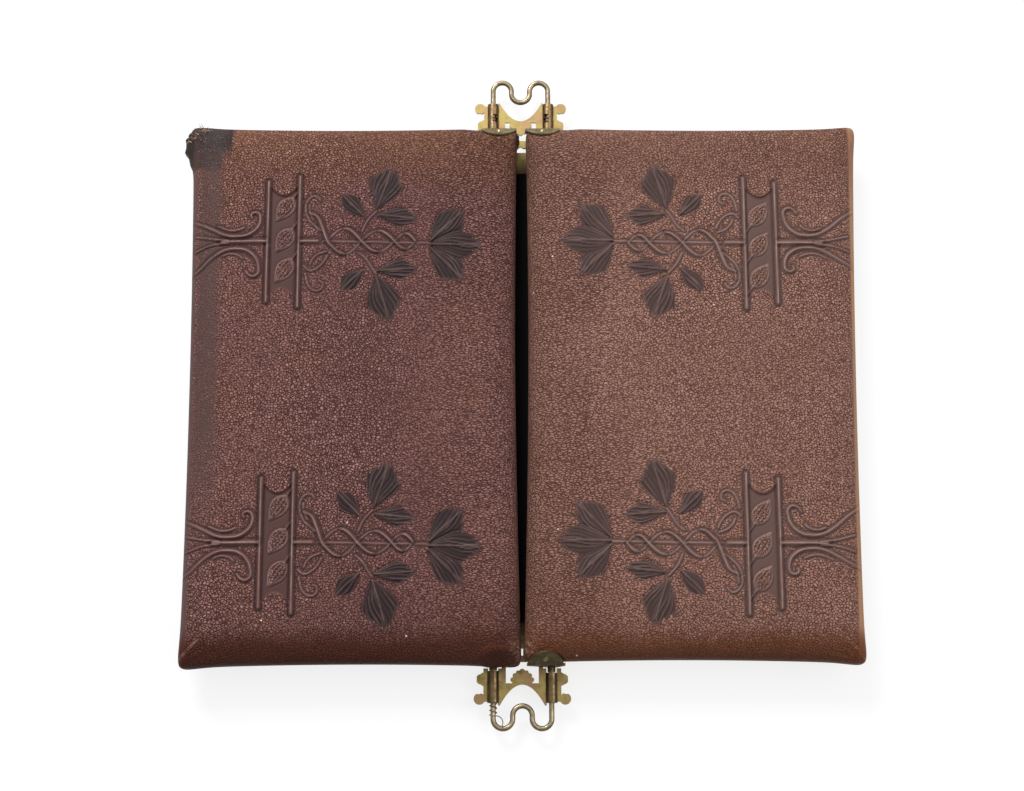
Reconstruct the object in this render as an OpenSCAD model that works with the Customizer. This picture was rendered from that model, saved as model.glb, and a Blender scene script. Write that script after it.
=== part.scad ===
// Antique padded album, lying open and face down, with sprung hinge fittings at head and tail.
// +Z is up, +Y points to the head, +X to the right. The origin is under the middle, at rest level.

/* [Covers] */
// Width of each cover from its spine edge to its fore edge
cover_w = 100.8; // [94:0.2:108]
// Height of each cover from head to tail
cover_h = 167; // [164:0.5:180]
// Open gap between the two spine edges
cover_gap = 2.4; // [2.2:0.1:3]
// Thickness of the cover board
board_t = 2.4; // [2:0.1:3.2]
// Rise of the padded crown over the straight edge of the leather
crown_h = 7; // [6:0.2:9]
// Thickness of the leather over the padding
leather_t = 1; // [0.8:0.1:1.2]
// Thickness of the paper lining and of the leather turned in around it
lining_t = 0.6; // [0.4:0.1:1]
// Width of the leather hem folded in under the board
hem_w = 8; // [7.6:0.2:14]
// How far the leather is drawn in at the middle of each side
side_draw = 0.9; // [0.4:0.1:1.4]
// Squareness of the crown's roll, from soft to boxy
crown_square = 7; // [6:0.5:10]

/* [Leaves] */
// Thickness of a card leaf
leaf_t = 1.4; // [1:0.1:1.8]
// Space between two leaves that lie flat
leaf_gap = 0.9; // [0.8:0.1:1.4]
// Width of a leaf beyond its hinge line
leaf_w = 87; // [76:1:88]
// Distance of a leaf's end from the cover's end
leaf_in = 3.5; // [3.5:0.5:12]
// Corner radius of a leaf
leaf_corner = 3; // [1:0.5:6]
// Space between two leaves that hang in the closed album
hang_gap = 1.2; // [1:0.1:1.5]
// Space between the first leaf and the middle plane
middle_gap = 0.3; // [0.2:0.1:0.6]
// Space between the last leaf and the cover over it
cover_clear = 0.5; // [0.4:0.1:1]
// Thickness of the linen guard that carries a leaf
guard_t = 0.7; // [0.5:0.1:0.9]
// Distance of a guard's end from the cover's end
guard_in = 25.5; // [24.5:0.5:34]

/* [Backbone] */
// Width of the wooden backbone
bone_w = 10.8; // [10:0.1:11.4]
// Thickness of the wooden backbone
bone_t = 2.4; // [2:0.1:3]
// Distance of the wooden backbone's end from the cover's end
bone_in = 13; // [10:0.5:14]
// Thickness of the black cloth around the backbone
cloth_t = 0.4; // [0.2:0.1:0.5]
// Space between the cloth and the covers over it
spine_clear = 0.8; // [0.7:0.1:1.2]
// Radius of a backbone rivet
bone_rivet_r = 0.9; // [0.6:0.1:1.2]
// Depth of a backbone rivet in the wood
bone_rivet_in = 1.5; // [1:0.1:1.8]

/* [Link plates] */
// Middle radius of the three bends of a hinge wire, whose legs stand three of them from the middle
bend_r = 2.9; // [2.85:0.05:3.05]
// Thickness of a link plate
plate_t = 1; // [0.8:0.1:1.1]
// Thickness of the gutters that hold the barrels
gutter_t = 0.5; // [0.4:0.1:0.8]
// Half width of a link plate beside its barrels
flank_x = 11.6; // [11.3:0.1:12]
// Half width of the tang under the covers
tang_x = 6.2; // [5.8:0.1:6.3]
// Length of the tang that lies under the backbone
tang_in = 11; // [8:0.5:11]
// Half width of the window
window_x = 4.9; // [4.4:0.1:5]
// How far the window reaches in under the covers
window_in = 1; // [0.6:0.1:1.4]
// Length of the window
window_l = 6.3; // [6:0.1:6.5]
// Corner radius of the window
window_r = 1.4; // [1:0.1:1.8]
// Half width of the crest in the window
crest_x = 3; // [2.8:0.05:3.1]
// Height of the crest in the window
crest_y = 3.4; // [3.2:0.05:3.5]
// Radius of the lobes of the crest
lobe_r = 0.7; // [0.68:0.02:0.8]
// Radius of the lobe at the tip of the crest
tip_r = 0.9; // [0.8:0.05:1]
// Width of the crossbar inside the window
crossbar_w = 2.7; // [2.2:0.1:3.2]
// Width of the slot behind the crossbar
slot_w = 1.3; // [0.9:0.1:1.6]
// Half width of the slot behind the crossbar
slot_x = 3.4; // [2.4:0.1:4.4]
// Half width of the arch at the outer end
arch_x = 6.8; // [6.2:0.1:6.8]
// Height of the arch at the outer end
arch_h = 6.3; // [5.8:0.1:6.4]
// Radius of the round ears
ear_r = 1.7; // [1.4:0.1:1.9]
// Distance of the ears from the mouths of the barrels
ear_in = 1.2; // [1:0.1:1.6]
// Reach of an ear's middle beyond the flank
ear_out = 1.2; // [1:0.1:1.6]
// Distance of the shoulders' middle from the cover's end
shoulder_in = 4.1; // [3.9:0.1:4.3]
// Half length of the flat of a shoulder
shoulder_flat = 0.8; // [0.6:0.1:1]
// Chamfer of a shoulder
chamfer = 0.7; // [0.5:0.1:0.9]
// Half length of the foot of a shoulder
shoulder_foot = 2.4; // [2.2:0.1:2.7]
// Distance from a shoulder's middle to the notch on each side
notch_step = 2.9; // [2.8:0.05:3]
// Reach of the pointed feet of the arch beyond the mouths
foot_out = 0.8; // [0.5:0.1:1]
// Reach of the square shoulders beyond the flanks
shoulder = 2; // [1.4:0.1:2.4]
// Radius of the notches beside the shoulders
notch_r = 1.5; // [1.3:0.1:1.7]

/* [Hinges] */
// Radius of the hinge wire
wire_r = 0.8; // [0.7:0.05:0.85]
// Outer radius of a barrel
barrel_r = 1.75; // [1.65:0.05:1.9]
// Bore radius of a barrel, where its spring lies
barrel_bore_r = 1.35; // [1.3:0.05:1.4]
// Width of the bottle-shaped window in the two head barrels
peep_w = 1.6; // [1.2:0.1:1.7]
// Length of the bottle-shaped window
peep_l = 2.9; // [2.6:0.1:3.2]
// Distance of the bottle-shaped window from the barrel's mouth
peep_y = 3.5; // [3:0.1:4]
// Step of the bottle-shaped window from the hinge axis towards the spine
peep_step = 0.6; // [0.4:0.1:0.7]
// Length of the collar at the inner end of a barrel
collar_l = 1; // [0.6:0.1:1.4]
// Distance from the cover's end to the mouth of a barrel
mouth_y = 11.1; // [10.8:0.1:12]
// Distance from the mouth to the middle line of the wire's bends
bend_reach = 7.6; // [7.2:0.1:8.6]
// Depth of the dip between the wire's bends
dip_h = 6.7; // [6.2:0.1:7]
// Radial clearance of a wire in its collar
collar_fit = 0.02; // [0.02:0.01:0.04]
// Radial clearance of a wire in the turning knuckle
knuckle_fit = 0.05; // [0.03:0.01:0.08]
// Outer radius of a knuckle
knuckle_r = 1.2; // [1.15:0.05:1.4]
// Length of a knuckle on the right cover
right_knuckle_l = 1.4; // [1:0.1:2]
// Length of a knuckle on the left cover
left_knuckle_l = 0.8; // [0.6:0.1:1.4]
// Space between a turning piece and a standing one
swing_gap = 0.3; // [0.25:0.05:0.4]
// Radius of the wire of a spring
spring_wire_r = 0.15; // [0.1:0.01:0.17]
// Middle radius of a spring
spring_r = 1.1; // [1.07:0.01:1.13]
// Rise of a spring in one turn
spring_pitch = 1; // [0.9:0.05:1.1]
// Rise of the slipped spring in one turn
slipped_pitch = 1.35; // [1.2:0.05:1.4]
// Radius of the curled tail of the slipped spring
curl_r = 2; // [1.6:0.1:2.2]

/* [Brackets] */
// Thickness of a bracket's arm
arm_t = 0.6; // [0.5:0.1:0.9]
// Half width of a bracket's arm at the knuckle
arm_foot = 1.9; // [1.8:0.05:2]
// Width of a bracket's arm at the cover
arm_w = 11.4; // [11.2:0.2:12]
// Space between a bracket and the spine edge of its cover
arm_inset = 0.1; // [0.1:0.1:0.4]
// Distance of the half-round tab from the side of its arm
tab_inset = 0.2; // [0.1:0.1:0.4]
// Step from the arm's inner face to the tab's
tab_step = 0.1; // [0.05:0.05:0.2]
// Radius of the half-round tab
tab_r = 5.3; // [4.8:0.1:5.3]
// Thickness of the half-round tab
tab_t = 0.5; // [0.4:0.1:0.8]
// Lean of the tab over the padded edge, in degrees
tab_lean = 38; // [37:0.5:40]
// Height of the rivet on the tab
tab_rivet_z = 2.2; // [1.8:0.1:2.8]
// Radius of a rivet's head
rivet_head_r = 0.9; // [0.7:0.1:1.1]
// Radius of a rivet's shank
rivet_shank_r = 0.45; // [0.35:0.05:0.6]
// Length of a rivet's shank inside the cover
rivet_in = 1.5; // [1:0.1:2]
// Distance of the flange from the side of its arm
flange_inset = 1.7; // [1.2:0.1:2]
// Width of the flange under the board
flange_w = 9; // [7:0.2:9.4]
// Length of the flange under the board
flange_l = 7; // [5:0.2:7.4]
// Radius of the pin that holds the flange to the board
pin_r = 0.8; // [0.5:0.1:1.2]

/* [Hidden] */
$fn = 48;
SPRING_SIDES = 6;
SPRING_STEPS = 12;
CROWN_STEP = 10;
SIDE_STEP = 0.245;
CORNER_CUT = 0.98;
CROWN_POWER = 2.4;
CUT = 1;
UNDER_LEAVES = 2;
LEAVES = 4;
SPRING_TURNS = 5.6;
SLIPPED_TURNS = 6.25;
FLAT_TURN = 0.7;
CREST_LOBES = 3;
LOBE_TURN = 24;
CURL_END = 130;
CURL_STEP = 15;

// Levels
stack_top = LEAVES * leaf_t + (LEAVES - 1) * leaf_gap;
cover_z = stack_top + cover_clear;
board_z = cover_z + lining_t;
edge_z = board_z + board_t;
axis_z = cover_z - spine_clear - cloth_t - bone_t;
plate_z = axis_z - plate_t;

// Places along X
pivot_x = 3 * bend_r;
cover_in = cover_gap / 2;
cover_mid = cover_in + cover_w / 2;
bone_side = bone_w / 2 + cloth_t;
leaf_pitch = leaf_t + leaf_gap;
hang_pitch = leaf_t + hang_gap;
side_leaf_x = max(bone_side, tang_x) + hang_gap;

// Places along Y, counted outward from the cover's end
end_y = cover_h / 2;
arm_out = end_y + arm_t;
flank_y = arm_out + swing_gap;
mouth = end_y + mouth_y;
window_y = end_y - window_in;
bar_y = window_y - crossbar_w;
bone_end = end_y - bone_in;
bone_l = 2 * bone_end;
guard_end = end_y - guard_in;
leaf_end = end_y - leaf_in;
bend_y = mouth + bend_reach;
ear_x = flank_x + ear_out;
ear_y = mouth - ear_in;
shoulder_y = end_y + shoulder_in;
foot_y = mouth + foot_out;
arch_y = window_y + window_l + 0.4;

// Height of a leaf's middle and the place of its hinge line
function leaf_z(k) = leaf_t / 2 + k * leaf_pitch;
function leaf_x(k) = k < UNDER_LEAVES
    ? middle_gap + leaf_t / 2 + k * hang_pitch
    : side_leaf_x + (k - UNDER_LEAVES) * hang_pitch;

// Everything below is drawn for the right side and the head, and these two turn it over.
module to_left() mirror([1, 0, 0]) children();
module to_tail() mirror([0, 1, 0]) children();

// A bar or bore along Y, from y0 to y1, on the hinge axis
module on_axis(r, y0, y1) {
    translate([pivot_x, y1, axis_z]) rotate([90, 0, 0]) cylinder(r = r, h = y1 - y0);
}

// ---- Link plates ----

// Inner end of a barrel, beyond its cover's knuckle
function barrel_start(knuckle_l) = arm_out + knuckle_l + swing_gap;

// One side of the plate: flank, square shoulder, round ear and the pointed foot of the arch
module plate_side_2d(knuckle_l) {
    side_end = mouth - ear_r / 2;
    difference() {
        union() {
            translate([window_x, flank_y]) square([flank_x - window_x, side_end - flank_y]);
            translate([ear_x, ear_y]) circle(r = ear_r);
            translate([flank_x - ear_r, ear_y - ear_r / 2])
                square([ear_x - flank_x + ear_r, ear_r]);
            polygon([
                [flank_x - CUT, shoulder_y - shoulder_foot],
                [flank_x + shoulder - chamfer, shoulder_y - shoulder_flat - chamfer],
                [flank_x + shoulder, shoulder_y - shoulder_flat],
                [flank_x + shoulder, shoulder_y + shoulder_flat],
                [flank_x + shoulder - chamfer, shoulder_y + shoulder_flat + chamfer],
                [flank_x - CUT, shoulder_y + shoulder_foot]
            ]);
            polygon([
                [window_x, side_end - CUT], [pivot_x, side_end - CUT], [pivot_x, mouth],
                [pivot_x - barrel_r, foot_y], [arch_x, foot_y], [window_x, side_end]
            ]);
        }
        for (y = [shoulder_y - notch_step, shoulder_y + notch_step])
            translate([flank_x + notch_r, y]) circle(r = notch_r);
        translate([pivot_x - knuckle_r - swing_gap, end_y])
            square([2 * (knuckle_r + swing_gap), barrel_start(knuckle_l) - end_y]);
    }
}

// The tang under the covers, with the crossbar's peaked edge and the slot behind it
module tang_2d() {
    difference() {
        translate([-tang_x, bone_end - tang_in])
            square([2 * tang_x, flank_y + CUT - bone_end + tang_in]);
        polygon([
            [-slot_x, bar_y - slot_w], [slot_x, bar_y - slot_w],
            [slot_x, bar_y + 0.3], [0.9, bar_y + 0.3], [0, bar_y + 0.9],
            [-0.9, bar_y + 0.3], [-slot_x, bar_y + 0.3]
        ]);
    }
}

// The crest of seven lobes that stands in the window
module crest_2d() {
    base_y = window_y + window_l;
    translate([0, base_y]) intersection() {
        scale([crest_x, crest_y]) circle(r = 1);
        translate([-crest_x, -crest_y]) square([2 * crest_x, crest_y + 1]);
    }
    for (k = [-CREST_LOBES : CREST_LOBES])
        translate([crest_x * sin(k * LOBE_TURN), base_y - crest_y * cos(k * LOBE_TURN)])
            circle(r = k == 0 ? tip_r : lobe_r);
}

module plate_2d() {
    difference() {
        union() {
            plate_side_2d(right_knuckle_l);
            mirror([1, 0]) plate_side_2d(left_knuckle_l);
            translate([-window_x - CUT, flank_y])
                square([2 * (window_x + CUT), mouth - flank_y]);
            tang_2d();
        }
        translate([0, window_y]) difference() {
            hull() {
                for (side = [-1, 1])
                    translate([side * (window_x - window_r), window_r]) circle(r = window_r);
                translate([-window_x, window_l / 2]) square([2 * window_x, window_l / 2]);
            }
            translate([0, -window_y]) crest_2d();
        }
        polygon([for (t = [-1.15 : 0.1 : 1.16]) [t * arch_x, arch_y + arch_h * t * t]]);
    }
}

// The half-round gutter pressed into the plate under a barrel
module gutter(knuckle_l) {
    start = barrel_start(knuckle_l);
    difference() {
        on_axis(barrel_r + gutter_t, start, mouth - gutter_t);
        translate([0, start - CUT, axis_z]) cube([2 * pivot_x, mouth, 2 * barrel_r]);
    }
}

module link_plate() {
    color("#a58d4a") difference() {
        union() {
            translate([0, 0, plate_z]) linear_extrude(plate_t) plate_2d();
            gutter(right_knuckle_l);
            to_left() gutter(left_knuckle_l);
        }
        on_axis(barrel_r, barrel_start(right_knuckle_l), mouth + CUT);
        to_left() on_axis(barrel_r, barrel_start(left_knuckle_l), mouth + CUT);
        backbone_rivet_pair();
    }
}

// ---- Barrels, hinge wires and springs ----

// Bottle-shaped window in a barrel, its neck and lip towards the mouth
module peep_2d() {
    hull() {
        translate([-peep_w / 2, -peep_l]) square([peep_w, peep_w]);
        translate([-peep_w / 4, -peep_l / 2]) square([peep_w / 2, peep_w / 4]);
    }
    translate([-peep_w / 4, -peep_l / 2]) square([peep_w / 2, peep_l / 2]);
    hull() {
        translate([-peep_w / 4, -peep_l / 4]) square([peep_w / 2, peep_w / 8]);
        translate([-peep_w / 2, -peep_w / 8]) square([peep_w, peep_w / 8]);
    }
}

module barrel(knuckle_l, windowed) {
    start = barrel_start(knuckle_l);
    color("#6e5632") difference() {
        on_axis(barrel_r, start, mouth);
        on_axis(wire_r + collar_fit, start - CUT, mouth);
        on_axis(barrel_bore_r, start + collar_l, mouth + CUT);
        if (windowed)
            translate([pivot_x - peep_step, mouth - peep_y, axis_z]) linear_extrude(2 * barrel_r)
                peep_2d();
    }
}

module bend(x, y, turned) {
    translate([x, y, axis_z]) rotate(turned) rotate_extrude(angle = 180)
        translate([bend_r, 0]) circle(r = wire_r);
}

// The M of round wire: its legs are the two hinge pins
module hinge_wire() {
    lobe_y = bend_y - bend_r;
    dip_y = bend_y - dip_h + bend_r;
    color("#8d7a5c") {
        for (side = [-1, 1]) {
            translate([side * pivot_x, lobe_y, axis_z]) rotate([90, 0, 0])
                cylinder(r = wire_r, h = lobe_y - end_y - 0.2);
            translate([side * bend_r, lobe_y, axis_z]) rotate([90, 0, 0])
                cylinder(r = wire_r, h = lobe_y - dip_y);
            bend(side * 2 * bend_r, lobe_y, 0);
        }
        bend(0, dip_y, 180);
    }
}

function unit(v) = v / norm(v);
function tangents(p) =
    [for (i = [0 : len(p) - 1]) unit(p[min(i + 1, len(p) - 1)] - p[max(i - 1, 0)])];

// A side direction carried along the path without twisting
function carried(t, u, i = 0) = i == len(t) ? [] :
    let (v = unit(u - (u * t[i]) * t[i])) concat([v], carried(t, v, i + 1));

// A round wire swept along a path of points
module swept(path, r, sides) {
    t = tangents(path);
    u = carried(t, [0, 1, 0]);
    last = len(path) - 1;
    points = [
        for (i = [0 : last], s = [0 : sides - 1])
            let (a = 360 * s / sides)
            path[i] + r * (cos(a) * u[i] + sin(a) * cross(t[i], u[i]))
    ];
    walls = [
        for (i = [0 : last - 1], s = [0 : sides - 1])
            let (n = (s + 1) % sides)
            [i * sides + s, (i + 1) * sides + s, (i + 1) * sides + n, i * sides + n]
    ];
    ends = [
        [for (s = [0 : sides - 1]) s],
        [for (s = [sides - 1 : -1 : 0]) last * sides + s]
    ];
    polyhedron(points = points, faces = concat(walls, ends), convexity = 8);
}

// Points of a coil along Y from y0, whose first turn lies flat and whose last ends on top
function coil(y0, pitch, turns) = [
    for (k = [0 : floor(turns * SPRING_STEPS)])
        let (a = 90 + 360 * (k / SPRING_STEPS - turns))
        [
            pivot_x + spring_r * cos(a),
            y0 + pitch * max(0, k / SPRING_STEPS - FLAT_TURN),
            axis_z + spring_r * sin(a)
        ]
];

// A spring in its barrel, seated on the collar
module spring(knuckle_l) {
    color("#3c352a")
        swept(coil(barrel_start(knuckle_l) + collar_l + spring_wire_r, spring_pitch, SPRING_TURNS),
            spring_wire_r, SPRING_SIDES);
}

// The spring that has slipped half out of its barrel, with its tail curled to the middle
module slipped_spring() {
    last_y = mouth + 3.9;
    first_y = last_y - slipped_pitch * (SLIPPED_TURNS - FLAT_TURN);
    curl_x = pivot_x - 0.9;
    tail = [
        for (a = [0 : CURL_STEP : CURL_END])
            [curl_x - curl_r * sin(a), last_y + curl_r * (1 - cos(a)), axis_z + spring_r]
    ];
    color("#3c352a")
        swept(concat(coil(first_y, slipped_pitch, SLIPPED_TURNS), tail), spring_wire_r, SPRING_SIDES);
}

// ---- Backbone and guards ----

module backbone_rivet_pair() {
    for (side = [-1, 1])
        translate([side * bone_w / 4, bone_end - tang_in / 2, plate_z])
            cylinder(r = bone_rivet_r, h = plate_t + bone_rivet_in);
}

module backbone() {
    color("#6d5137") difference() {
        translate([-bone_w / 2, -bone_end, axis_z]) cube([bone_w, bone_l, bone_t]);
        backbone_rivet_pair();
        to_tail() backbone_rivet_pair();
    }
}

module spine_cloth() {
    color("#17130f") difference() {
        translate([-bone_side, -bone_end, axis_z]) cube([2 * bone_side, bone_l, bone_t + cloth_t]);
        translate([-bone_w / 2, -bone_end - CUT, axis_z - CUT])
            cube([bone_w, bone_l + 2 * CUT, bone_t + CUT]);
    }
}

module backbone_rivets() {
    color("#8a7440") {
        backbone_rivet_pair();
        to_tail() backbone_rivet_pair();
    }
}

// A guard hangs from under the backbone for the inner leaves, and stands out of its side for the rest
module guard(k) {
    gap = leaf_t / 2 + 0.15;
    color("#cabd9c")
        if (k < UNDER_LEAVES)
            translate([leaf_x(k) - guard_t / 2, -guard_end, leaf_z(k) + gap])
                cube([guard_t, 2 * guard_end, axis_z - leaf_z(k) - gap]);
        else
            translate([bone_side, -guard_end, leaf_z(k) - guard_t / 2 + 0.1])
                cube([leaf_x(k) - gap - bone_side, 2 * guard_end, guard_t]);
}

module leaf(k) {
    color("#e3d8bd") {
        translate([leaf_x(k), 0, leaf_z(k) - leaf_t / 2]) linear_extrude(leaf_t) {
            translate([0, -leaf_end]) square([leaf_w - leaf_corner, 2 * leaf_end]);
            translate([0, leaf_corner - leaf_end]) square([leaf_w, 2 * (leaf_end - leaf_corner)]);
            for (side = [-1, 1])
                translate([leaf_w - leaf_corner, side * (leaf_end - leaf_corner)])
                    circle(r = leaf_corner);
        }
        translate([leaf_x(k), leaf_end, leaf_z(k)]) rotate([90, 0, 0])
            cylinder(r = leaf_t / 2, h = 2 * leaf_end);
    }
}

// ---- Covers ----

// Outline of a cover, drawn in between its corners
module outline_2d(inset) {
    a = cover_w / 2 - inset;
    b = cover_h / 2 - inset;
    steps = [-CORNER_CUT : SIDE_STEP : CORNER_CUT + SIDE_STEP / 2];
    translate([cover_mid, 0]) polygon(concat(
        [for (t = steps) [a * t, -b + side_draw * (1 - t * t)]],
        [for (t = steps) [a - side_draw * (1 - t * t), b * t]],
        [for (t = steps) [-a * t, b - side_draw * (1 - t * t)]],
        [for (t = steps) [-a + side_draw * (1 - t * t), -b * t]]
    ));
}

// Cross-section of a padded cover: straight sides from z0 up, and a crown rolled over them
module section_2d(half, rise, z0) {
    low = z0 < edge_z ? [[-half, z0], [half, z0]] : [];
    polygon(concat(low, [
        for (a = [0 : CROWN_STEP : 180])
            [
                half * sign(cos(a)) * pow(abs(cos(a)), 2 / crown_square),
                edge_z + rise * pow(sin(a), 2 / CROWN_POWER)
            ]
    ]));
}

// The body under a skin that is inset thick, from z0 up
module cover_body(inset, z0) {
    rise = crown_h - inset;
    intersection() {
        translate([cover_mid, end_y, 0]) rotate([90, 0, 0]) linear_extrude(cover_h)
            section_2d(cover_w / 2 - inset, rise, z0);
        translate([cover_in, 0, 0]) rotate([90, 0, 90]) linear_extrude(cover_w)
            section_2d(cover_h / 2 - inset, rise, z0);
        translate([0, 0, z0]) linear_extrude(rise + edge_z - z0) outline_2d(inset);
    }
}

module board() {
    color("#8b7355") difference() {
        translate([0, 0, board_z]) linear_extrude(board_t) outline_2d(leather_t);
        flange_pin();
        to_tail() flange_pin();
    }
}

module padding() {
    color("#d8cdb4") difference() {
        cover_body(leather_t, edge_z);
        tab_rivet();
        to_tail() tab_rivet();
    }
}

module leather() {
    color("#5b3a33") difference() {
        cover_body(0, cover_z);
        cover_body(leather_t, board_z);
        translate([0, 0, cover_z - CUT]) linear_extrude(lining_t + 2 * CUT) outline_2d(hem_w);
        bracket_seat();
        to_tail() bracket_seat();
    }
}

module lining() {
    color("#8c8474") translate([0, 0, cover_z]) linear_extrude(lining_t) outline_2d(hem_w);
}

// ---- Brackets ----

arm_x = cover_in + arm_inset;
tab_x = arm_x + tab_inset + tab_r;
flange_x = arm_x + flange_inset;

// Stands children in the frame of the tab: its foot on the padded edge, its inner face at y = 0
module at_tab() {
    translate([tab_x, end_y + tab_step, edge_z]) rotate([tab_lean, 0, 0]) children();
}

// The half-round, with a strip below it that runs into the arm
module tab_2d(r, strip) {
    intersection() {
        circle(r = r);
        translate([-r, 0]) square([2 * r, r]);
    }
    translate([-r, -strip]) square([2 * r, strip + 0.01]);
}

module arm_2d() {
    translate([pivot_x, axis_z]) circle(r = arm_foot);
    polygon([
        [pivot_x - arm_foot, axis_z], [pivot_x + arm_foot, axis_z],
        [arm_x + arm_w, cover_z], [arm_x + arm_w, edge_z],
        [arm_x, edge_z], [arm_x, cover_z]
    ]);
}

module flange(extra) {
    translate([flange_x, end_y - flange_l, cover_z])
        cube([flange_w, flange_l + extra, lining_t]);
}

module flange_pin() {
    translate([flange_x + flange_w / 2, end_y - flange_l / 2, cover_z])
        cylinder(r = pin_r, h = lining_t + board_t);
}

// Shank and head of the rivet on the tab
module tab_rivet() {
    at_tab() translate([0, -rivet_in, tab_rivet_z]) rotate([-90, 0, 0]) {
        cylinder(r = rivet_shank_r, h = rivet_in + tab_t);
        translate([0, 0, rivet_in + tab_t]) cylinder(r1 = rivet_head_r, r2 = rivet_head_r / 2, h = 0.4);
    }
}

// What a bracket takes out of the leather
module bracket_seat() {
    at_tab() translate([0, 2 * tab_r, 0]) rotate([90, 0, 0]) linear_extrude(2 * tab_r)
        tab_2d(tab_r, CUT);
    flange(CUT);
    tab_rivet();
}

module bracket(knuckle_l) {
    color("#97814a") difference() {
        union() {
            translate([0, arm_out, 0]) rotate([90, 0, 0]) linear_extrude(arm_t) arm_2d();
            on_axis(knuckle_r, end_y, arm_out + knuckle_l);
            flange(arm_t / 2);
            at_tab() translate([0, tab_t, 0]) rotate([90, 0, 0]) linear_extrude(tab_t)
                tab_2d(tab_r, 0.4);
        }
        on_axis(wire_r + knuckle_fit, end_y - CUT, arm_out + knuckle_l + CUT);
        tab_rivet();
        flange_pin();
    }
}

module rivets() {
    color("#b7a566") {
        tab_rivet();
        flange_pin();
        to_tail() {
            tab_rivet();
            flange_pin();
        }
    }
}

// ---- Assembly ----

link_plate();  // head_link_plate
to_tail() link_plate();  // tail_link_plate
to_left() barrel(left_knuckle_l, true);  // head_left_barrel
barrel(right_knuckle_l, true);  // head_right_barrel
to_tail() to_left() barrel(left_knuckle_l, false);  // tail_left_barrel
to_tail() barrel(right_knuckle_l, false);  // tail_right_barrel
hinge_wire();  // head_hinge_wire
to_tail() hinge_wire();  // tail_hinge_wire
to_left() spring(left_knuckle_l);  // head_left_spring
spring(right_knuckle_l);  // head_right_spring
to_tail() to_left() slipped_spring();  // tail_left_spring
to_tail() spring(right_knuckle_l);  // tail_right_spring
backbone();
spine_cloth();
backbone_rivets();
to_left() guard(0);  // left_guard_1
to_left() guard(1);  // left_guard_2
to_left() guard(2);  // left_guard_3
to_left() guard(3);  // left_guard_4
guard(0);  // right_guard_1
guard(1);  // right_guard_2
guard(2);  // right_guard_3
guard(3);  // right_guard_4
to_left() leaf(0);  // left_leaf_1
to_left() leaf(1);  // left_leaf_2
to_left() leaf(2);  // left_leaf_3
to_left() leaf(3);  // left_leaf_4
leaf(0);  // right_leaf_1
leaf(1);  // right_leaf_2
leaf(2);  // right_leaf_3
leaf(3);  // right_leaf_4
to_left() board();  // left_board
to_left() padding();  // left_padding
to_left() leather();  // left_leather
to_left() lining();  // left_lining
to_left() bracket(left_knuckle_l);  // left_head_bracket
to_tail() to_left() bracket(left_knuckle_l);  // left_tail_bracket
to_left() rivets();  // left_rivets
board();  // right_board
padding();  // right_padding
leather();  // right_leather
lining();  // right_lining
bracket(right_knuckle_l);  // right_head_bracket
to_tail() bracket(right_knuckle_l);  // right_tail_bracket
rivets();  // right_rivets
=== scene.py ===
"""Looks of the stamp album: padded leather covers, brass spine fittings, card leaves.

Lengths are in millimetres until a mesh is made, and the object's own axes are used:
x across the spine, y from tail to head, z up from what the open album lies on.
"""

import math

import bpy
import numpy as np
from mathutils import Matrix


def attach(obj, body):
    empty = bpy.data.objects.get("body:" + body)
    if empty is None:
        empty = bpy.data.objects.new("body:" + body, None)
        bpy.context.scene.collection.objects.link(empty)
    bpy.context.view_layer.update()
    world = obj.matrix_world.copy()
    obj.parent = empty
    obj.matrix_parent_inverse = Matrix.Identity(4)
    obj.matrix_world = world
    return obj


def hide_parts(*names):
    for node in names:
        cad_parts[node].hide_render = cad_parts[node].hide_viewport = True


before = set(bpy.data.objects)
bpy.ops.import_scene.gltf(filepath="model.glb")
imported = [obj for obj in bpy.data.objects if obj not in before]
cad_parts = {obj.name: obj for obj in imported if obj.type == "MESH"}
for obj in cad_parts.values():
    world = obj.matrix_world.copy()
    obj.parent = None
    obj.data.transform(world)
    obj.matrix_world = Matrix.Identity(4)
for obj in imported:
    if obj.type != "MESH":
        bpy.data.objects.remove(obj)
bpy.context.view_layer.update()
MM = 0.001

# ---- Sizes shared with the part's source ----

COVER_IN = 1.2
COVER_W = 100.8
COVER_H = 167.0
HALF_W = COVER_W / 2
HALF_H = COVER_H / 2
COVER_MID = COVER_IN + HALF_W
COVER_Z = 8.8
BOARD_Z = 9.4
EDGE_Z = 11.8
CROWN_H = 7.0
CROWN_SQUARE = 7
CROWN_POWER = 2.4
SIDE_DRAW = 0.9
TURN_IN = 8.0
TAB_X = 6.8
TAB_R = 5.3
TAB_STEP = 0.1
TAB_LEAN = math.radians(38)
TAB_T = 0.5


# ---- Shader maths ----

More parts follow.
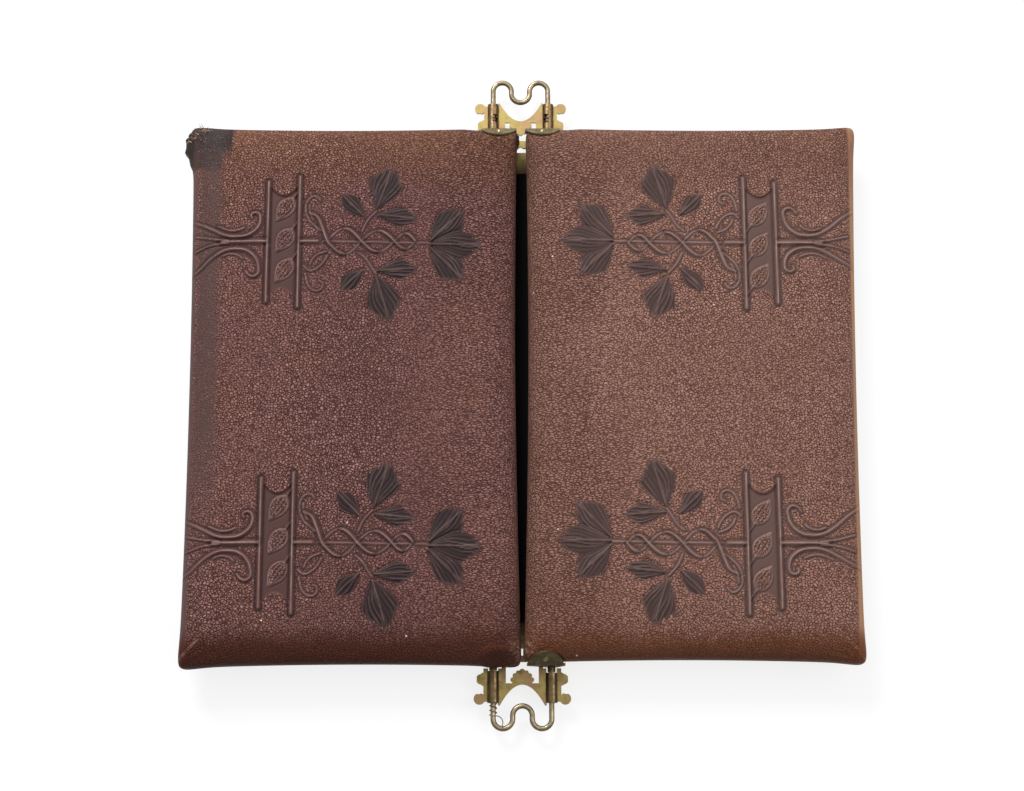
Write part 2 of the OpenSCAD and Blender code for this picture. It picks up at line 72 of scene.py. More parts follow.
class Value:
    """A shader socket on which arithmetic adds Math nodes."""

    def __init__(self, finish, socket):
        self.finish = finish
        self.socket = socket

    def math(self, operation, *terms):
        return self.finish.node("ShaderNodeMath", {"operation": operation}, dict(enumerate(terms)))

    def __add__(self, other):
        return self.math("ADD", self, other)

    def __sub__(self, other):
        return self.math("SUBTRACT", self, other)

    def __rsub__(self, other):
        return self.math("SUBTRACT", other, self)

    def __mul__(self, other):
        return self.math("MULTIPLY", self, other)

    def __truediv__(self, other):
        return self.math("DIVIDE", self, other)

    def __pow__(self, other):
        return self.math("POWER", self, other)

    def __neg__(self):
        return self * -1.0

    def __abs__(self):
        return self.math("ABSOLUTE", self)

    __radd__ = __add__
    __rmul__ = __mul__

    def least(self, other):
        return self.math("MINIMUM", self, other)

    def most(self, other):
        return self.math("MAXIMUM", self, other)

    def sine(self):
        return self.math("SINE", self)

    def ramp(self, low, high, to_low=0.0, to_high=1.0):
        """Eases from to_low at low to to_high at high."""
        settings = {"interpolation_type": "SMOOTHSTEP"}
        terms = {"Value": self, "From Min": low, "From Max": high}
        terms.update({"To Min": to_low, "To Max": to_high})
        return self.finish.node("ShaderNodeMapRange", settings, terms)


class Finish:
    """One material, its shader's plain numbers set by name and its nodes made by expressions."""

    def __init__(self, name, numbers):
        self.material = bpy.data.materials.new(name)
        self.material.use_nodes = True
        self.tree = self.material.node_tree
        self.tree.nodes.clear()
        self.shader = self.tree.nodes.new("ShaderNodeBsdfPrincipled")
        self.output = self.tree.nodes.new("ShaderNodeOutputMaterial")
        self.tree.links.new(self.shader.outputs[0], self.output.inputs[0])
        self.give(self.shader, numbers)

    def give(self, node, terms):
        for key, term in terms.items():
            if isinstance(term, Value):
                self.tree.links.new(term.socket, node.inputs[key])
            else:
                node.inputs[key].default_value = term

    def node(self, kind, settings=None, terms=None, out=0):
        made = self.tree.nodes.new(kind)
        for key, setting in (settings or {}).items():
            setattr(made, key, setting)
        self.give(made, terms or {})
        return Value(self, made.outputs[out])

    def place(self, stretch=(1, 1, 1), turn=(0, 0, 0)):
        """The object's own coordinates in metres, stretched and turned."""
        where = self.node("ShaderNodeTexCoord", out="Object")
        return self.node("ShaderNodeMapping", {}, {"Vector": where, "Rotation": turn, "Scale": stretch})

    def axes(self):
        """The object's x, y and z in millimetres."""
        where = self.node("ShaderNodeTexCoord", out="Object")
        parts = [self.node("ShaderNodeSeparateXYZ", {}, {"Vector": where}, out) for out in "XYZ"]
        return [part / MM for part in parts]

    def noise(self, size, detail=3.0, rough=0.55, stretch=(1, 1, 1), turn=(0, 0, 0)):
        """Cloudy noise whose lumps are size mm across."""
        terms = {"Vector": self.place(stretch, turn), "Scale": 1 / (size * MM)}
        terms.update({"Detail": detail, "Roughness": rough})
        return self.node("ShaderNodeTexNoise", {}, terms)

    def cells(self, size, feature, stretch=(1, 1, 1), bend=0.0):
        """Distance inside cells that are size mm across, bent by noise."""
        where = self.place(stretch)
        if bend:
            push = self.node("ShaderNodeTexNoise", {}, {"Vector": where, "Scale": 0.6 / (size * MM)}, 1)
            push = self.vector("SUBTRACT", {0: push, 1: (0.5, 0.5, 0.5)})
            push = self.vector("SCALE", {0: push, "Scale": bend * size * MM})
            where = self.vector("ADD", {0: where, 1: push})
        terms = {"Vector": where, "Scale": 1 / (size * MM)}
        return self.node("ShaderNodeTexVoronoi", {"feature": feature}, terms)

    def vector(self, operation, terms):
        return self.node("ShaderNodeVectorMath", {"operation": operation}, terms)

    def attribute(self, name):
        return self.node("ShaderNodeAttribute", {"attribute_name": name}, out="Fac")

    def mix(self, share, first, second, blend="MIX"):
        """The second colour over the first by that share."""
        settings = {"data_type": "RGBA", "blend_type": blend}
        return self.node("ShaderNodeMix", settings, {0: share, 6: first, 7: second}, 2)

    def bump(self, *layers):
        """Bump layers, each a height and the depth in mm that a height of 1 has."""
        normal = None
        for height, depth in layers:
            terms = {"Height": height, "Distance": depth * MM, "Strength": 1.0}
            if normal:
                terms["Normal"] = normal
            normal = self.node("ShaderNodeBump", {}, terms)
        return normal

    def wear(self, **terms):
        names = {"colour": "Base Color", "rough": "Roughness", "metal": "Metallic"}
        names.update({"coat": "Coat Weight", "normal": "Normal"})
        self.give(self.shader, {names[key]: term for key, term in terms.items()})
        return self.material


def colour(red, green, blue):
    return (red, green, blue, 1.0)


# ---- Meshes ----

def add_mesh(name, points, faces, material, body, smooth=True):
    """A mesh from an array of points in mm, which rides on a body."""
    mesh = bpy.data.meshes.new(name)
    mesh.from_pydata((np.asarray(points) * MM).tolist(), [], [list(face) for face in faces])
    mesh.polygons.foreach_set("use_smooth", np.full(len(mesh.polygons), smooth))
    mesh.materials.append(material)
    mesh.update()
    piece = bpy.data.objects.new(name, mesh)
    bpy.context.scene.collection.objects.link(piece)
    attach(piece, body)
    return piece


def grid_faces(rows, columns, first=0):
    """Quads of a grid whose points run along its columns first."""
    corner = (np.arange(rows - 1)[:, None] * columns + np.arange(columns - 1)).ravel() + first
    return np.stack([corner, corner + 1, corner + columns + 1, corner + columns], axis=1)


def ring_faces(rings, around, first=0):
    """Quads between closed rings of points, each ring joined to the next."""
    step = np.arange(around)
    after = (step + 1) % around
    base = np.arange(rings - 1)[:, None] * around + first
    quads = [base + step, base + after, base + after + around, base + step + around]
    return np.stack([quad.ravel() for quad in quads], axis=1)


# A direction that no rod starts along, from which its first side vector is taken
TUBE_ASIDE = (0.31, 0.52, 0.79)


def tube(path, radius, around=12):
    """A round rod: circles of the radius, square to the path, with pointed caps.

    The frame is carried along the path by taking from the last side vector its part
    along the new direction, so the rod doesn't twist.
    """
    path = np.asarray(path, float)
    radius = np.broadcast_to(radius, len(path))
    along = np.gradient(path, axis=0)
    along /= np.linalg.norm(along, axis=1)[:, None]
    side = np.cross(along[0], TUBE_ASIDE)
    angle = np.arange(around) * 2 * math.pi / around
    rings = []
    for centre, forward, size in zip(path, along, radius):
        side = side - forward * side.dot(forward)
        side /= np.linalg.norm(side)
        other = np.cross(forward, side)
        ring = np.cos(angle)[:, None] * side + np.sin(angle)[:, None] * other
        rings.append(centre + ring * size)
    points = np.concatenate(rings + [path[:1], path[-1:]])
    faces = ring_faces(len(path), around).tolist()
    start = len(path) * around
    last = start - around
    for step in range(around):
        after = (step + 1) % around
        faces.append([start, after, step])
        faces.append([start + 1, last + step, last + after])
    return points, faces


# ---- Embossed ornament ----

# Its own axes: p from the outer bar towards the spine, t across, both in mm.
# Place and half length of each bar, and the reach of the panel between them, more beside a bar
BARS = ((0.0, 19.3), (9.6, 21.0))
PANEL_HALF = 15.1
PANEL_CURL = 3.9
# Start, end and half width of each rod on the axis
RODS = (((-14.0, 0), (-0.8, 0), 0.62), ((10.4, 0), (15.4, 0), 0.55), ((17.0, 0), (49.6, -0.6), 0.34))
BRANCHES = (
    ((-24.6, 7.4), (-20.8, 5.8), (-17.4, 4.1), (-13.8, 2.3), (-11.2, 1.6), (-8.7, 1.6), (-6.6, 1.9),
     (-4.8, 2.8), (-3.1, 4.4), (-2.3, 6.7), (-2.6, 8.6), (-3.9, 9.3), (-5.2, 8.6), (-4.9, 7.5)),
    ((-24.6, -11.2), (-20.6, -8.4), (-17.2, -5.4), (-13.8, -3.2), (-10.9, -2.4), (-8.6, -2.4), (-6.6, -2.8),
     (-4.6, -4.1), (-3.2, -5.9), (-2.6, -7.8), (-2.5, -10.0), (-3.8, -11.2), (-5.4, -10.8), (-6.5, -9.4)),
)
TENDRILS = (
    ((-12.0, 0.35), (-17.2, 0.9), (-22.6, 2.2)),
    ((-12.0, -0.4), (-17.2, -1.1), (-22.6, -2.7)),
    ((-15.4, 4.9), (-12.2, 3.6), (-9.4, 3.6), (-7.2, 4.4)),
    ((-13.6, -4.6), (-11.2, -3.9), (-8.6, -4.6), (-7.6, -5.6)),
    ((16.0, 13.2), (15.0, 14.4), (13.5, 14.4), (12.2, 13.2), (11.5, 10.9), (12.0, 8.4), (13.0, 6.4),
     (15.0, 4.5), (16.5, 3.2)),
    ((12.6, 11.8), (12.9, 9.2), (14.0, 6.8)),
    ((11.8, -10.4), (12.4, -13.2), (13.6, -15.2), (15.4, -15.9), (16.9, -15.1), (17.2, -13.4), (16.0, -12.6)),
    ((11.4, -8.0), (12.6, -9.2), (14.2, -9.3), (16.2, -8.0), (17.6, -6.2), (18.4, -4.6)),
    ((13.2, -7.4), (13.9, -5.8), (15.4, -4.3), (17.9, -3.3)),
    ((29.0, 3.2), (30.6, 6.6), (33.2, 9.6)),
    ((28.3, -3.9), (30.3, -5.6), (31.8, -8.0), (33.4, -10.4)),
)
# Where the two strands of the vine cross, and how far they swing out before each crossing
VINE_CROSSINGS = (18.4, 28.8, 39.0, 45.4)
VINE_SWINGS = (4.6, 4.1, 3.4, 2.5)
VINE_HOOK = ((12.7, 9.2), (15.2, 7.8), (16.6, 4.8))
# Half width, height, darkness, taper and lead of its runs behind the rod and in front of it
VINE_CORDS = {False: (0.32, 0.22, 0.8, 0.35, 0.25), True: (0.54, 0.58, 0.8, 0.35, 0.25)}
# Base point, direction in degrees, length, width and ribs on each side of the midrib
SPRAY_LEAVES = (
    (30.2, 7.3, 134, 11.5, 5.6, 2),
    (33.2, 8.6, -6, 14.0, 6.6, 3),
    (33.4, 10.2, 71, 15.8, 10.8, 4),
    (29.9, -8.8, -137, 10.4, 5.6, 2),
    (33.3, -9.5, 4, 14.0, 7.0, 3),
    (33.3, -10.6, -73.5, 16.8, 11.2, 4),
    (49.6, -0.2, 44, 16.0, 9.6, 4),
    (49.6, -1.6, -46, 16.4, 9.4, 4),
    (49.4, -0.9, -1, 18.0, 9.8, 4),
)
# Middle of each leaf of the panel, then its base, direction, length and width from there
PANEL_LEAVES = (9.6, -0.4, -10.2)
PANEL_LEAF = (7.6, 4.6, -124, 9.0, 4.8)
PANEL_STEM = ((7.4, 4.2), (9.4, 7.2))


def hump(distance, width):
    """A smooth rise: 1 on the line, falling to 0 at the width as a cosine does."""
    near = np.clip(np.abs(distance) / width, 0, 1)
    return 0.5 + 0.5 * np.cos(math.pi * near)


def smooth_curve(points, steps=6):
    """A Catmull-Rom curve through the points."""
    points = np.asarray(points, float)
    if len(points) < 3:
        return points
    ends = np.concatenate([[2 * points[0] - points[1]], points, [2 * points[-1] - points[-2]]])
    share = np.arange(steps)[:, None] / steps
    pieces = []
    for before, start, stop, after in zip(ends, ends[1:], ends[2:], ends[3:]):
        pull = 2 * before - 5 * start + 4 * stop - after
        bend = 3 * (start - stop) + after - before
        pieces.append(start + 0.5 * share * (stop - before + share * (pull + share * bend)))
    return np.concatenate(pieces + [points[-1:]])


def line_distance(p, t, points):
    """Distance to a chain of straight lines, and how far along the chain, from 0 to 1."""
    best = np.full(p.shape, 1e9)
    along = np.zeros(p.shape)
    count = len(points) - 1
    for index, (start, stop) in enumerate(zip(points, points[1:])):
        step = stop - start
        share = ((p - start[0]) * step[0] + (t - start[1]) * step[1]) / (step @ step)
        share = np.clip(share, 0, 1)
        distance = np.hypot(p - start[0] - share * step[0], t - start[1] - share * step[1])
        nearer = distance < best
        best = np.where(nearer, distance, best)
        along = np.where(nearer, (index + share) / count, along)
    return best, along


class Emboss:
    """Relief in mm, darkness, and how smooth the leather is, at every point of a grid."""

    def __init__(self, p, t):
        self.p = p
        self.t = t
        self.relief = np.zeros(p.shape)
        self.dark = np.zeros(p.shape)
        self.plain = np.zeros(p.shape)
        # Shine: lighter ridges and ribs, a painted highlight with some rubbed wear; it also makes them
        # glossier.
        self.shine = np.zeros(p.shape)

    def cord(self, points, half, height=0.42, dark=0.5, taper=0.0, lead=0.0):
        """A raised line with a pressed groove on both sides, thinner by the taper at its far end.

        Over the lead, a share of its length, it rises from almost nothing.
        """
        distance, along = line_distance(self.p, self.t, smooth_curve(points))
        rise = np.clip((along + 0.1) / (lead + 0.1), 0, 1)
        half = half * (1 - taper * along ** 2) * (0.5 + 0.5 * rise)
        height = height * (0.3 + 0.7 * rise)
        groove = hump(distance - half * 1.9, half * 1.5)
        ridge = hump(distance, half * 1.2)
        raised = np.maximum(self.relief * (1 - ridge), height * ridge)
        self.relief = np.where(ridge > 0.02, raised, self.relief)
        self.relief -= 0.5 * height * groove * (1 - ridge)
        self.dark = np.maximum(self.dark * (1 - 0.85 * ridge), dark * groove)
        self.shine = np.maximum(self.shine, hump(distance, half * 0.55) * height / 0.5)
        self.plain = np.maximum(self.plain, hump(distance, half * 3.4) ** 0.5)

    def leaf_axes(self, base_p, base_t, turn, length):
        """How far along a leaf each point lies, as a share of its length, and how far across in mm."""
        turn = math.radians(turn)
        away_p = self.p - base_p
        away_t = self.t - base_t
        s = (away_p * math.cos(turn) + away_t * math.sin(turn)) / length
        return s, -away_p * math.sin(turn) + away_t * math.cos(turn)

    def leaf(self, base_p, base_t, turn, length, width, ribs):
        """A toothed leaf: half its width at s along it is half w times sin(pi s / 1.32)^1.05, less past 0.6.

        Ribs run where the place across, as a share of the half width, is even once a sine of s
        has bent it, and a second sine fades some of them. The blade ends sooner at its sides,
        in a tooth at each rib, and a sine of the place makes the teeth ragged.
        """
        s, across = self.leaf_axes(base_p, base_t, turn, length)
        half = 0.5 * width * np.sin(0.5 * math.pi * np.clip(s / 0.66, 0, 1)) ** 1.05
        half = half * (1 - 0.40 * np.clip((s - 0.6) / 0.4, 0, 1) ** 1.3)
        half = np.maximum(half, 1e-6)
        place = across / half
        inner = 1 - np.clip(place, -1, 1) ** 2
        bent = place + 0.16 * inner * np.sin(6.0 * s + base_p + 2.0 * base_t)
        off_rib = np.abs((bent * ribs + 0.5) % 1 - 0.5) * 2
        end = 1 - 0.30 * np.abs(place) ** 1.7 - (0.15 if ribs > 2 else 0.03) * off_rib
        end = end - 0.04 * (1 + np.sin(9.0 * place + base_p)) * np.abs(place)
        body = np.clip((1 - np.abs(place)) * half / 0.3, 0, 1) * (s > 0)
        body = body * np.clip((end - s) * length / 0.4, 0, 1)
        fade = np.clip(s * 5, 0, 1) * np.clip(half / ribs, 0, 1)
        rib = hump(off_rib * half / ribs / 2, 0.30) * fade
        rib = rib * (0.60 + 0.40 * np.sin(5.0 * bent + base_t + 3.0 * s))
        rib = np.maximum(rib, hump(across, 0.42) * np.clip((1 - s) * 4, 0, 1))
        swell = np.clip(1 - place ** 2, 0, 1)
        relief = body * (0.02 + 0.22 * swell + 0.30 * rib - 0.20 * (1 - rib) * fade)
        rim = hump(np.abs(across) - half - 0.25, 0.45) * (s > -0.02) * (s < end)
        self.relief = self.relief * (1 - body) + relief - 0.30 * rim * (1 - body)
        self.dark = np.maximum(self.dark * (1 - body), body * (1 - 0.25 * rib))
        self.dark = np.maximum(self.dark, 0.5 * rim * (1 - body))
        self.plain = np.maximum(self.plain, np.clip(body * 1.4, 0, 1))
        self.shine = np.maximum(self.shine * (1 - body), 0.36 * body * rib)

    def draw(self):
        """The whole ornament, each form pressed over those before it."""
        middle = (BARS[0][0] + BARS[1][0]) / 2
        reach = (BARS[1][0] - BARS[0][0]) / 2
        across = (self.p - middle) / reach
        end = PANEL_HALF + PANEL_CURL * across ** 2
        panel = np.clip((1 - np.abs(across)) * 4, 0, 1) * np.clip((end - np.abs(self.t)) / 0.4, 0, 1)
        self.relief -= 0.45 * panel
        self.dark = np.maximum(self.dark, 0.50 * panel)
        self.plain = np.maximum(self.plain, panel)
        rim = hump(np.abs(self.t) - end, 0.5) * (np.abs(across) < 1)
        self.relief += 0.25 * rim
        shift_p, shift_t, turn, length, width = PANEL_LEAF
        for middle_t in PANEL_LEAVES:
            self.panel_leaf(shift_p, middle_t + shift_t, turn, length, width)
            stem = [(stem_p, stem_t + middle_t) for stem_p, stem_t in PANEL_STEM]
            self.cord(stem, 0.28, 0.15, 0.55)
        for where, half_length in BARS:
            self.cord(((where, -half_length), (where, half_length)), 0.50, 0.55, 0.95)
        for start, stop, half in RODS:
            self.cord((start, stop), half, 0.8 * half, 0.7)
        for branch in BRANCHES:
            self.cord(branch, 0.62, 0.55, 0.75, 0.5, 0.5)
        for tendril in TENDRILS:
            self.cord(tendril, 0.31, 0.38, 0.75)
        for front in (False, True):
            for sign in (-1, 1):
                for arc in self.arcs(sign, front):
                    self.cord(arc, *VINE_CORDS[front])
        for leaf in SPRAY_LEAVES:
            self.leaf(*leaf)

    def arcs(self, sign, front):
        """The strand's runs in front of the rod, where it falls towards the spine, or those behind it."""
        points = self.strand(sign)
        runs = []
        run = [points[0]]
        for before, after in zip(points, points[1:]):
            if (after[1] < before[1]) == front:
                run.append(after)
                continue
            if len(run) > 1:
                runs.append(run)
            run = [after]
        return runs + [run] if len(run) > 1 else runs

    def strand(self, sign):
        """One strand of the vine: half sine waves from crossing to crossing, to each side in turn."""
        points = list(VINE_HOOK) if sign > 0 else []
        crossings = zip(VINE_CROSSINGS, VINE_CROSSINGS[1:], VINE_SWINGS[1:])
        for turn, (start, stop, swing) in enumerate(crossings):
            share = np.arange(8) / 8
            side = -sign if turn % 2 == 0 else sign
            wave = side * swing * np.sin(math.pi * share)
            points += list(zip(start + share * (stop - start), wave))
        return points + [(VINE_CROSSINGS[-1], 0.0)]

    def panel_leaf(self, base_p, base_t, turn, length, width):
        """A pebbled leaf with a raised outline and ribs along it: half its width is half w sin(pi s^0.8)."""
        s, across = self.leaf_axes(base_p, base_t, turn, length)
        half = 0.5 * width * np.sin(math.pi * np.clip(s, 0, 1) ** 0.8)
        within = (s > 0) & (s < 1)
        place = np.abs(across) / np.maximum(half, 0.2)
        edge = hump(np.abs(across) - half, 0.42) * within
        ribs = np.maximum(hump(across, 0.34), hump((place - 0.5) * half, 0.34)) * within
        line = np.maximum(edge, ribs * (place < 1))
        inner = within * np.clip((half - np.abs(across)) / 0.3, 0, 1)
        groove = hump(np.abs(across) - half - 0.5, 0.4) * within
        self.relief += 0.30 * inner + 0.34 * line - 0.2 * inner * (1 - line) - 0.15 * groove
        self.dark = np.maximum(self.dark * (1 - 0.7 * inner), 0.8 * groove)
        self.dark = self.dark * (1 - 0.85 * line)
        self.plain = self.plain * (1 - 0.9 * inner)
        self.shine = np.maximum(self.shine, 0.55 * line)


# ---- Padded covers ----

# Distance of each ornament's outer bar from the spine's middle, and its axis, on each cover
ORNAMENTS = {
    "left": ((77.9, 44.8), (77.7, -48.6)),
    "right": ((78.2, 44.2), (76.4, -49.0)),
}
# The same die stamped both covers, turned round for the right one
ORNAMENT_UP = {"left": 1, "right": -1}
ORNAMENT_REACH = 24.0
FINE_STEP = 0.31
PLAIN_STEP = 1.3
EDGE_BAND = 5.0
EDGE_STEPS = 18
CREASE_ROUND = 1.3
CORNER_SQUARE = 50
# Shift towards the outer side, turn, and how far the outer side goes out at the head and in at the tail
LIES = {"left": (-0.15, 0.002, 0.7, 0.45), "right": (0.0, 0.004, 2.2, 0.45)}
# How far each edge stands out of the plain outline, in mm
CORNER_FLARE = 0.7
FLARE_REACH = 7.0
SPINE_SWELL = {"left": 0.56, "right": 0.39}
HEAD_FULL = 0.55
TAIL_FULL = 1.15
TAB_SWELL = 0.1
# The tabs that lie over the leather, at the head (1) and the tail (-1); the left tail one is under it
TABS_OVER = {"left": (1,), "right": (1, -1)}
TAB_FROM_MID = TAB_X - COVER_MID
TAB_COVER = 0.45
TAB_CLEAR = 0.12
# The torn outer corner at the head: its middle, how far it stands out, and its reach to each end
TEAR_Y = 77.6
TEAR_OUT = 2.3
TEAR_TO_TAIL = 6.0
TEAR_TO_HEAD = 4.4
# The torn spot on the left cover's spine edge: its middle and how deep it is
GAP_TEAR_Y = 80.5
GAP_TEAR_IN = 0.75


def spaced(marks, half):
    """Places from -half to half: even steps between marks (place, step), closer by squares at both ends."""
    runs = []
    for (start, step), (stop, _) in zip(marks, marks[1:]):
        count = max(1, round((stop - start) / step))
        runs.append(np.linspace(start, stop, count, endpoint=False))
    inner = np.concatenate(runs + [[marks[-1][0]]])
    band = (half - inner[-1]) * (np.arange(EDGE_STEPS) / EDGE_STEPS) ** 2
    return np.concatenate([-half + band, inner, half - band[::-1]])


def crown(share):
    """Height of the padded crown as a share: (1 - |share|^square)^(1 / power)."""
    return np.clip(1 - np.abs(share) ** CROWN_SQUARE, 0, 1) ** (1 / CROWN_POWER)


def cover_points(x, y):
    """Plan place of a point of the flat grid: sides drawn in between rounded corners."""
    u = x / HALF_W
    v = y / HALF_H
    most = np.maximum(np.abs(u), np.abs(v))
    rounded = (np.abs(u) ** CORNER_SQUARE + np.abs(v) ** CORNER_SQUARE) ** (1 / CORNER_SQUARE)
    pull = 1 - (1 - most / np.maximum(rounded, 1e-9)) * most ** 14
    plan_x = x * pull - SIDE_DRAW * (1 - v ** 2) * np.sign(u) * np.abs(u) ** 6
    plan_y = y * pull - SIDE_DRAW * (1 - u ** 2) * np.sign(v) * np.abs(v) ** 6
    return plan_x, plan_y


def cover_height(x, y):
    """Crown height in mm: the lower of the two crowns, blended over the corner creases."""
    across = CROWN_H * crown(x / HALF_W)
    along = CROWN_H * crown(y / HALF_H)
    apart = np.abs(across - along)
    blend = np.clip(1 - apart / CREASE_ROUND, 0, 1)
    return np.minimum(across, along) - CREASE_ROUND * blend ** 2 / 4


def lie(side, x, y):
    """How a cover lies on its loose wires: shifted, turned a little in its plane, outer side stretched.

    The x shift is S + T y + (1 + u) (1 + v) H / 4 - (1 + u) (1 - v) N / 4, and the y shift is -T x.
    """
    shift, turn, head_out, tail_in = LIES[side]
    u = x / HALF_W
    v = y / HALF_H
    move_x = shift + turn * y + (1 + u) * ((1 + v) * head_out - (1 - v) * tail_in) / 4
    return x + move_x, y - turn * x


def corner_folds(x, y):
    """Pleats that fan out from each corner: waves of the angle round it, under a bell of the distance."""
    far_x = HALF_W - np.abs(x)
    far_y = HALF_H - np.abs(y)
    away = np.hypot(far_x, far_y)
    angle = np.arctan2(far_y, far_x)
    seed = 1.3 * np.sign(x) + 2.1 * np.sign(y)
    wave = np.sin(9 * angle + seed) + 0.6 * np.sin(17 * angle - 2 * seed)
    return -0.16 * np.abs(wave) * np.exp(-((away - 5) / 6) ** 2)


def press_tab(x, y, z, reach_x, sign):
    """Leather pressed down behind a bracket's half-round tab.

    The tab's inner face is a plane that leans over the padded edge; the leather stays
    under it inside the half-round and rises steeply outside.
    """
    inward = HALF_H + TAB_STEP - sign * y
    limit = EDGE_Z + inward / math.tan(TAB_LEAN) - TAB_CLEAR
    up = (limit - EDGE_Z) / math.cos(TAB_LEAN)
    away = np.hypot(x - reach_x, up)
    limit = limit + 2.6 * np.clip(away - TAB_R - 0.1, 0, None)
    return np.where(sign * y > 0, np.minimum(z, np.maximum(limit, EDGE_Z - 0.4)), z)


def lift_over_tab(x, y, z, reach_x):
    """Leather drawn over the tail tab: raised to the plane just outside it, falling off round its rim."""
    inward = HALF_H + TAB_STEP + y
    plane = EDGE_Z + inward / math.tan(TAB_LEAN)
    up = (plane - EDGE_Z) / math.cos(TAB_LEAN)
    beyond = np.clip(np.hypot(x - reach_x, up) - TAB_R, 0, None)
    lifted = plane + (TAB_T + TAB_COVER) / math.sin(TAB_LEAN) - 0.55 * beyond - 0.22 * beyond ** 2
    raised = 0.5 * (z + lifted + np.sqrt((z - lifted) ** 2 + 0.9))
    near = np.clip(4 - inward / 3, 0, 1) * np.clip(4 - np.abs(x - reach_x) / 4, 0, 1)
    return np.where(y < 0, z + np.minimum(raised - z, 2.4) * near, z)


def swell(side, x, y, height):
    """How far the leather stands out of its outline, in x and y, in mm.

    Every corner flares by a bell of the distance to it, less at the spine. The head edge is
    fuller away from its tab, and the spine edge swells towards the tail. On the left cover the
    tail edge is fuller too, most over the tab that lies under it, and two places are torn.
    """
    low = np.clip(1 - height / 5.5, 0, 1)
    from_x = HALF_W - np.abs(x)
    from_y = HALF_H - np.abs(y)
    bell = np.exp(-(np.hypot(from_x, from_y) / FLARE_REACH) ** 2)
    flare = CORNER_FLARE * (0.65 + 0.35 * np.sign(x)) * bell * low
    out_x = flare * np.sign(x)
    out_y = flare * np.sign(y)
    spine_edge = np.clip(-x / HALF_W, 0, 1) ** 8
    from_tab = x - TAB_FROM_MID
    clear_of_tab = 1 - np.exp(-(from_tab / 9.5) ** 6)
    full = np.clip(1.3 - height / 6.5, 0, 1)
    out_y += HEAD_FULL * clear_of_tab * np.clip(y / HALF_H, 0, 1) ** 14 * full
    out_x -= SPINE_SWELL[side] * np.clip(-(y - 10) / HALF_H, 0, 1) * spine_edge
    if side == "left":
        tail_edge = np.clip(-y / HALF_H, 0, 1) ** 14
        over_tab = np.exp(-(from_tab / 7.5) ** 4)
        out_y -= (TAIL_FULL + TAB_SWELL * over_tab) * tail_edge * full
        ragged = 1 + 0.16 * np.sin(3.1 * y) + 0.10 * np.sin(7.3 * y + 1.0)
        past_tear = np.abs((y - TEAR_Y) / np.where(y < TEAR_Y, TEAR_TO_TAIL, TEAR_TO_HEAD))
        torn = np.exp(-past_tear ** 2.4) * np.clip(x / HALF_W, 0, 1) ** 26
        out_x += TEAR_OUT * torn * ragged * np.clip(1.15 - height / 5.5, 0, 1)
        gap_torn = np.exp(-np.abs((y - GAP_TEAR_Y) / 2.6) ** 3)
        out_x -= GAP_TEAR_IN * gap_torn * spine_edge * ragged * low
    return out_x, out_y


def cover_mesh(side):
    """Points, faces and attributes of one padded cover, drawn for the side right of the spine."""
    bands = []
    for _, axis in sorted(ORNAMENTS[side], key=lambda place: place[1]):
        bands += [(axis - ORNAMENT_REACH, FINE_STEP), (axis + ORNAMENT_REACH, PLAIN_STEP)]
    low = (-HALF_H + EDGE_BAND, PLAIN_STEP)
    high = (HALF_H - EDGE_BAND, PLAIN_STEP)
    rows = spaced([low] + bands + [high], HALF_H)
    columns = spaced([(-HALF_W + EDGE_BAND, FINE_STEP), (HALF_W - EDGE_BAND, FINE_STEP)], HALF_W)
    x, y = np.meshgrid(columns, rows)
    plan_x, plan_y = cover_points(x, y)
    height = cover_height(x, y)
    out_x, out_y = swell(side, x, y, height)
    place_x, place_y = lie(side, plan_x + out_x, plan_y + out_y)
    relief = np.zeros(x.shape)
    dark = np.zeros(x.shape)
    plain = np.zeros(x.shape)
    shine = np.zeros(x.shape)
    for bar, axis in ORNAMENTS[side]:
        emboss = Emboss(bar - (place_x + COVER_MID), (place_y - axis) * ORNAMENT_UP[side])
        emboss.draw()
        relief += emboss.relief
        dark = np.maximum(dark, emboss.dark)
        plain = np.maximum(plain, emboss.plain)
        shine = np.maximum(shine, emboss.shine)
    on_top = np.clip(height / 2.5, 0, 1)
    z = EDGE_Z + height + relief * on_top + corner_folds(x, y) * np.clip(height, 0, 1)
    for sign in TABS_OVER[side]:
        z = press_tab(place_x, place_y, z, TAB_FROM_MID, sign)
    if side == "left":
        z = lift_over_tab(place_x, place_y, z, TAB_FROM_MID)
    top = np.stack([place_x + COVER_MID, place_y, z], axis=2).reshape(-1, 3)
    faces = grid_faces(len(rows), len(columns)).tolist()
    attributes = {"dark": dark.ravel(), "plain": plain.ravel(), "shine": shine.ravel()}
    return close_cover(top, faces, attributes, len(rows), len(columns))


# How far in from the outline, and at what height, each ring below the crown lies
RINGS = (
    (0.0, 11.3), (0.0, 10.6), (0.0, 9.9), (0.08, 9.35), (0.3, 8.95), (0.75, COVER_Z), (3.0, COVER_Z),
    (TURN_IN - 0.4, COVER_Z), (TURN_IN, COVER_Z + 0.15), (TURN_IN + 0.05, BOARD_Z),
    (24.0, BOARD_Z), (40.0, BOARD_Z),
)


